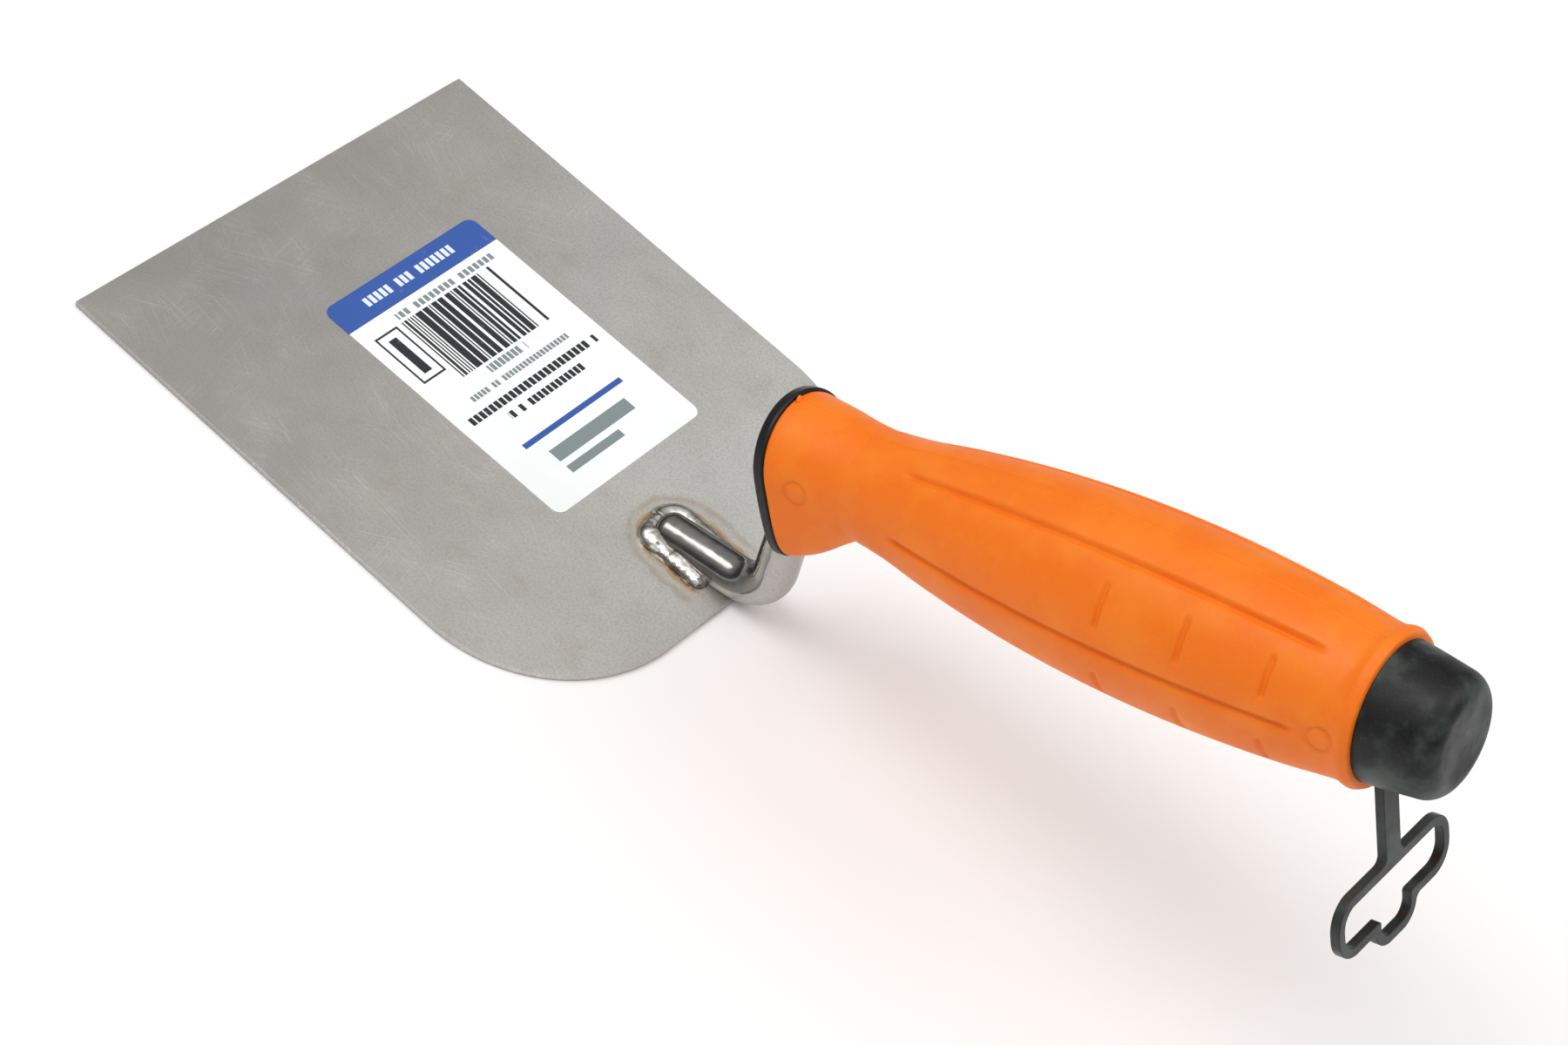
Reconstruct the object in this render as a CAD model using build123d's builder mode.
"""Margin trowel: stainless blade, welded gooseneck tang, two-part moulded handle, hang-up loop.

Millimetres. The origin is the centre of the blade's working (bottom) face.
+X runs from the blade to the butt of the handle, +Y across the blade, +Z up.
Places along the handle are distances from the collar, where the handle begins.
"""

import os
from math import cos, pi, radians, sin, tan

from build123d import *

# Blade
blade_length = 120.0
blade_width = 100.0
blade_thickness = 1.0
blade_corner = 30.0

# Label on the blade
label_length = 60.0
label_width = 40.0
label_thickness = 0.12
label_corner = 2.0
label_x = -2.5
label_y = 5.4
label_turn = 0.8

# Round bar of the tang: foot on the blade, neck, straight tang in the handle
bar_diameter = 8.0
foot_front = 40.2
foot_height = -0.1
foot_rise = 12.0
foot_nose = 2.6
neck_x = 65.1
neck_lean = 94.0
lower_bend = 8.8
upper_bend = 9.0
tang_depth = 60.0
tang_chamfer = 1.0

# Weld beads along the two sides of the foot, meeting round its nose
weld_radius = 2.0
weld_offset = 4.1
weld_front = 39.6
weld_rear = 54.6
weld_turn = 3.0

# Handle axis
handle_rise = 22.43
collar_x = 60.0
collar_z = 40.9

# Flange of the core, tilted a little further back than the handle's own cross-section
flange_tilt = 8.5
flange_start = -0.8
flange_thickness = 2.1
flange_round = 0.4

# Outlines across the handle: half width, height above the axis, depth below it, squareness below
flange_outline = (11.6, 11.4, 17.0, 4.5)
guard_front = (11.35, 11.0, 16.4, 4.5)
guard_middle = [
    (6.8, (10.75, 10.6, 15.45, 4.0)),
    (10.0, (10.4, 10.25, 13.85, 3.4)),
    (12.8, (10.1, 10.0, 11.95, 2.7)),
]
outline_points = 32

# Grip: place along the handle and radius of its round body, from the waist to the rear neck
grip_profile = [
    (16.2, 9.9),
    (24.0, 10.8),
    (33.0, 12.45),
    (44.0, 14.05),
    (56.0, 15.25),
    (68.0, 15.87),
    (80.0, 15.93),
    (92.0, 15.42),
    (104.0, 14.42),
    (112.6, 13.3),
]
lip_end = 117.5
lip_profile = [(114.2, 13.25), (116.2, 13.62), (117.3, 13.1), (lip_end, 12.5)]
rear_slope = -0.13
grip_thickness = 2.6

# Grooves in the grip
groove_radius = 1.1
groove_depth = 0.5
long_groove = (26.5, 110.0)
long_groove_run_out = 4.0
long_groove_angles = [29.5, 88.5, 150.0]
cross_groove_places = [71.9, 87.0, 102.2]
cross_groove_spans = [(42.0, 78.0), (102.0, 138.0)]
cross_groove_run_out = 4.5

# Cavity in the core, closed by the end cap's spigot
core_end = 112.6
core_bore_radius = 8.4
core_bore_start = 64.0
spigot_length = 10.0

# End cap: place along the handle and radius of its outside
cap_profile = [(lip_end, 12.0), (122.0, 11.5), (126.0, 10.95), (130.4, 10.35)]
cap_end_round = 4.0
cap_bore_radius = 4.6
cap_bore_end = 125.0
socket_end_gap = 0.2

# Hanger: flat moulded loop on a stem, pivoting on two studs in the underside of the cap's neck
pivot_place = 116.7
pivot_below = 8.0
hanger_lean = 6.3
hanger_thickness = 1.8
hanger_edge = 0.2
boss_radius = 1.3
stud_radius = 1.0
stud_clearance = 0.05
stud_reach = 4.3
stem_width = 4.4
slot_side_gap = 0.35
slot_front_gap = 0.1
slot_rear_gap = 0.35
slot_reach = 13.0
swing = 55.0
loop_width = 33.0
loop_top = 20.9
loop_bottom = 32.4
loop_corner = 5.0
loop_wall = 1.8
loop_top_wall = 1.8
notch_width = 12.4
notch_bottom = 36.6
notch_corner = 4.4
inside_round = 1.4

os.makedirs("parts", exist_ok=True)


def save(piece, name):
    """Label the piece and write its file."""
    piece.label = name
    export_step(piece, f"parts/{name}.step")


# Reference directions and planes of the handle
rise = radians(handle_rise)
axis_direction = Vector(cos(rise), 0, sin(rise))
collar_centre = Vector(collar_x, 0, collar_z)
section_plane = Plane(origin=collar_centre, x_dir=(0, 1, 0), z_dir=axis_direction)
side_plane = Plane(origin=collar_centre, x_dir=axis_direction, z_dir=(0, -1, 0))
handle_axis = Axis(collar_centre, axis_direction)

tilted = radians(handle_rise + flange_tilt)
flange_origin = collar_centre + axis_direction * flange_start
flange_plane = Plane(origin=flange_origin, x_dir=(0, 1, 0), z_dir=(cos(tilted), 0, sin(tilted)))


def outline(section, inset):
    """Points round a section that is round above and squarer below, drawn in by an amount."""
    half_width, top, depth, squareness = section
    points = []
    for step in range(outline_points):
        angle = 2 * pi * step / outline_points
        above = sin(angle) >= 0
        power = 1.0 if above else 2.0 / squareness
        reach = (top if above else depth) - inset
        across = (half_width - inset) * abs(cos(angle)) ** power
        height = reach * abs(sin(angle)) ** power
        points.append((across if cos(angle) >= 0 else -across, height if above else -height))
    return points


def guard_blank(inset):
    """Finger guard from behind the flange to the waist, drawn in by an amount."""
    waist, waist_radius = grip_profile[0]
    sections = [(flange_plane.offset(flange_thickness), guard_front)]
    sections += [(section_plane.offset(place), shape) for place, shape in guard_middle]
    with BuildPart() as guard:
        for plane, shape in sections:
            with BuildSketch(plane):
                with BuildLine():
                    Spline(*outline(shape, inset), periodic=True)
                make_face()
        with BuildSketch(section_plane.offset(waist)):
            Circle(waist_radius - inset)
        loft()
    return guard.part


def round_blank(profile, end_tangent):
    """Solid of revolution about the handle axis under a smooth profile."""
    with BuildPart() as body:
        with BuildSketch(side_plane):
            with BuildLine():
                skin = Spline(*profile, tangents=[(1, 0), end_tangent])
                Polyline(skin @ 1, ((skin @ 1).X, 0), ((skin @ 0).X, 0), skin @ 0)
            make_face()
        revolve(axis=handle_axis)
    return body.part


# Blade: sheet with square front corners and rounded rear corners
with BuildPart() as blade:
    with BuildSketch():
        Rectangle(blade_length, blade_width)
    extrude(amount=blade_thickness)
    fillet(blade.edges().filter_by(Axis.Z).group_by(Axis.X)[-1], blade_corner)
save(blade.part, "blade")

# Label: thin rounded sheet on the blade's upper face
turn = radians(label_turn)
label_plane = Plane(origin=(label_x, label_y, blade_thickness), x_dir=(cos(turn), sin(turn), 0))
with BuildPart() as label:
    with BuildSketch(label_plane):
        RectangleRounded(label_length, label_width, label_corner)
    extrude(amount=label_thickness)
save(label.part, "label")

# Tang: one round bar, bent twice, its sloping foot ground flat underneath
neck_slope = 1 / tan(radians(neck_lean))
axis_slope = tan(rise)
axis_height = collar_z + (neck_x - collar_x) * axis_slope
foot_slope = radians(foot_rise)
bend_height = foot_height + (neck_x - foot_front) * tan(foot_slope)
neck_height = (axis_height - bend_height) / (1 - axis_slope * neck_slope)
tang_end = collar_centre + axis_direction * tang_depth
with BuildPart() as tang:
    with BuildLine(Plane.XZ):
        FilletPolyline(
            (foot_front, foot_height),
            (neck_x, bend_height),
            (neck_x + neck_slope * neck_height, bend_height + neck_height),
            (tang_end.X, tang_end.Z),
            radius=[lower_bend, upper_bend],
        )
    foot_direction = (cos(foot_slope), 0, sin(foot_slope))
    with BuildSketch(Plane(origin=(foot_front, 0, foot_height), z_dir=foot_direction)):
        Circle(bar_diameter / 2)
    sweep()
    bar_ends = tang.edges().filter_by(GeomType.CIRCLE).sort_by(Axis.X)
    chamfer(bar_ends[-1], tang_chamfer)
    fillet(bar_ends[0], foot_nose)
    split(bisect_by=Plane.XY.offset(blade_thickness), keep=Keep.TOP)
save(tang.part, "tang")

# Weld beads: each runs along one side of the foot and round half of its nose
for weld_name, side in (("weld_left", -1), ("weld_right", 1)):
    weld_start = (weld_rear, side * weld_offset, blade_thickness)
    with BuildPart() as weld:
        with BuildLine(Plane.XY.offset(blade_thickness)):
            FilletPolyline(
                (weld_rear, side * weld_offset),
                (weld_front, side * weld_offset),
                (weld_front, 0),
                radius=weld_turn,
            )
        with BuildSketch(Plane(origin=weld_start, z_dir=(-1, 0, 0))):
            Circle(weld_radius)
        sweep()
        split(bisect_by=Plane.XY.offset(blade_thickness), keep=Keep.TOP)
        add(tang.part, mode=Mode.SUBTRACT)
    save(weld.part, weld_name)

# Handle core: flange, guard and body under the grip, moulded round the tang
inner_profile = [(place, radius - grip_thickness) for place, radius in grip_profile]
neck_radius = inner_profile[-1][1]
inner_guard = guard_blank(grip_thickness)
inner_body = round_blank(inner_profile, (1, rear_slope))
with BuildPart() as handle_core:
    with BuildSketch(flange_plane):
        with BuildLine():
            Spline(*outline(flange_outline, 0), periodic=True)
        make_face()
    extrude(amount=flange_thickness)
    fillet(handle_core.edges(), flange_round)
    add(inner_guard)
    add(inner_body)
    with BuildSketch(section_plane.offset(core_bore_start)):
        Circle(core_bore_radius)
    extrude(amount=core_end - core_bore_start, mode=Mode.SUBTRACT)
    add(tang.part, mode=Mode.SUBTRACT)
save(handle_core.part, "handle_core")

# Pivot of the hanger, and the pocket that its stem swings in, in the cap and the grip's lip
pivot = section_plane.from_local_coords((0, -pivot_below, pivot_place))
hang = radians(handle_rise + hanger_lean)
hanger_plane = Plane(origin=pivot, x_dir=(0, 1, 0), z_dir=(cos(hang), 0, sin(hang)))
pivot_plane = Plane(origin=pivot, x_dir=axis_direction, z_dir=(0, -1, 0))
rest_angle = radians(hanger_lean)
swung_angle = radians(hanger_lean + swing)
front_side = hanger_thickness / 2 + slot_front_gap
rear_side = hanger_thickness / 2 + slot_rear_gap


def from_pivot(angle, down, ahead):
    """Point in the pivot's plane, down a stem at an angle and ahead of its middle plane."""
    return (
        down * sin(angle) - ahead * cos(angle),
        -down * cos(angle) - ahead * sin(angle),
    )


with BuildPart() as pocket:
    with BuildSketch(pivot_plane):
        with BuildLine():
            front_foot = from_pivot(rest_angle, slot_reach, front_side)
            rear_foot = from_pivot(swung_angle, slot_reach, -rear_side)
            Polyline(
                from_pivot(rest_angle, 0, front_side),
                front_foot,
                (rear_foot[0], front_foot[1]),
                rear_foot,
                from_pivot(swung_angle, 0, -rear_side),
                close=True,
            )
        make_face()
        Circle(boss_radius + slot_rear_gap)
    extrude(amount=stem_width / 2 + slot_side_gap, both=True)

# End cap: neck inside the grip's lip, rounded butt, spigot in the core's cavity
with BuildPart() as end_cap:
    with BuildSketch(side_plane):
        with BuildLine():
            skin = Spline(*cap_profile)
            Polyline(
                skin @ 1,
                ((skin @ 1).X, 0),
                (core_end, 0),
                (core_end, neck_radius),
                (lip_end, neck_radius),
                skin @ 0,
            )
        make_face()
    revolve(axis=handle_axis)
    fillet(end_cap.edges().sort_by(handle_axis)[-1], cap_end_round)
    with BuildSketch(section_plane.offset(core_end)):
        Circle(core_bore_radius)
    extrude(amount=-spigot_length)
    with BuildSketch(section_plane.offset(core_end - spigot_length)):
        Circle(cap_bore_radius)
    extrude(amount=cap_bore_end - core_end + spigot_length, mode=Mode.SUBTRACT)
    add(pocket.part, mode=Mode.SUBTRACT)
    with BuildSketch(pivot_plane):
        Circle(stud_radius + stud_clearance)
    extrude(amount=stud_reach + socket_end_gap, both=True, mode=Mode.SUBTRACT)
save(end_cap.part, "end_cap")


def on_grip(place, angle, lift):
    """Point over the grip: place along the handle, angle from the top, height over the skin."""
    reach = lift
    for (start, low), (stop, high) in zip(grip_profile, grip_profile[1:]):
        if start <= place <= stop:
            reach = lift + low + (high - low) * (place - start) / (stop - start)
    turned = radians(angle)
    return section_plane.from_local_coords((reach * sin(turned), reach * cos(turned), place))


def groove(points):
    """Round cutter along a smooth line of points."""
    with BuildPart() as cutter:
        with BuildLine() as path:
            Spline(*points)
        with BuildSketch(Plane(origin=path.line @ 0, z_dir=path.line % 0)):
            Circle(groove_radius)
        sweep()
    return cutter.part


# Grooves: lines along the handle, with short cross lines between them, fading out at both ends
sunk = groove_radius - groove_depth
clear = groove_radius + groove_depth
first, last = long_groove
first_full = first + long_groove_run_out
last_full = last - long_groove_run_out
between = [place for place, radius in grip_profile if first_full < place < last_full]
places = [first_full, *between, last_full]
grooves = []
for side in (-1, 1):
    for angle in long_groove_angles:
        line = [on_grip(first, side * angle, clear)]
        line += [on_grip(place, side * angle, sunk) for place in places]
        line += [on_grip(last, side * angle, clear)]
        grooves.append(groove(line))
    for place in cross_groove_places:
        for first_angle, last_angle in cross_groove_spans:
            middle = (first_angle + last_angle) / 2
            line = [
                on_grip(place, side * first_angle, clear),
                on_grip(place, side * (first_angle + cross_groove_run_out), sunk),
                on_grip(place, side * middle, sunk),
                on_grip(place, side * (last_angle - cross_groove_run_out), sunk),
                on_grip(place, side * last_angle, clear),
            ]
            grooves.append(groove(line))

# Grip: soft sleeve over the core and the cap's neck
with BuildPart() as grip:
    add(guard_blank(0))
    add(round_blank(grip_profile + lip_profile, (0, -1)))
    add(inner_guard, mode=Mode.SUBTRACT)
    add(inner_body, mode=Mode.SUBTRACT)
    with BuildSketch(section_plane.offset(core_end)):
        Circle(neck_radius)
    extrude(amount=lip_end - core_end, mode=Mode.SUBTRACT)
    add(pocket.part, mode=Mode.SUBTRACT)
    for cutter in grooves:
        add(cutter, mode=Mode.SUBTRACT)
save(grip.part, "grip")


def round_corners(builder, across, down, radius):
    """Round the sketch's pair of corners at a distance across and down."""
    pair = builder.vertices().filter_by(
        lambda corner: abs(abs(corner.X) - across) < 0.01 and abs(corner.Y + down) < 0.01
    )
    fillet(pair, radius)


# Hanger: flat loop with a peg notch, stem, pivot boss and studs in one moulding
inner_top = loop_top + loop_top_wall
with BuildPart() as hanger:
    with BuildSketch(hanger_plane) as outside:
        with Locations((0, -(loop_top + loop_bottom) / 2)):
            RectangleRounded(loop_width, loop_bottom - loop_top, loop_corner)
        with Locations((0, -(loop_top + notch_bottom) / 2)):
            RectangleRounded(notch_width, notch_bottom - loop_top, notch_corner)
        with Locations((0, -inner_top / 2)):
            Rectangle(stem_width, inner_top)
        round_corners(outside, stem_width / 2, loop_top, inside_round)
        round_corners(outside, notch_width / 2, loop_bottom, inside_round)
    extrude(amount=hanger_thickness / 2, both=True)
    with BuildSketch(hanger_plane) as inside:
        with Locations((0, -(inner_top + loop_bottom - loop_wall) / 2)):
            RectangleRounded(
                loop_width - 2 * loop_wall,
                loop_bottom - loop_wall - inner_top,
                loop_corner - loop_wall,
            )
        with Locations((0, -(inner_top + notch_bottom - loop_wall) / 2)):
            RectangleRounded(
                notch_width - 2 * loop_wall,
                notch_bottom - loop_wall - inner_top,
                notch_corner - loop_wall,
            )
        round_corners(inside, notch_width / 2 - loop_wall, loop_bottom - loop_wall, inside_round / 2)
    extrude(amount=hanger_thickness, both=True, mode=Mode.SUBTRACT)
    broad_faces = hanger.faces().filter_by(Axis(pivot, hanger_plane.z_dir)).sort_by(SortBy.AREA)[-2:]
    fillet(broad_faces.edges(), hanger_edge)
    with BuildSketch(pivot_plane):
        Circle(boss_radius)
    extrude(amount=stem_width / 2, both=True)
    with BuildSketch(pivot_plane):
        Circle(stud_radius)
    extrude(amount=stud_reach, both=True)
save(hanger.part, "hanger")
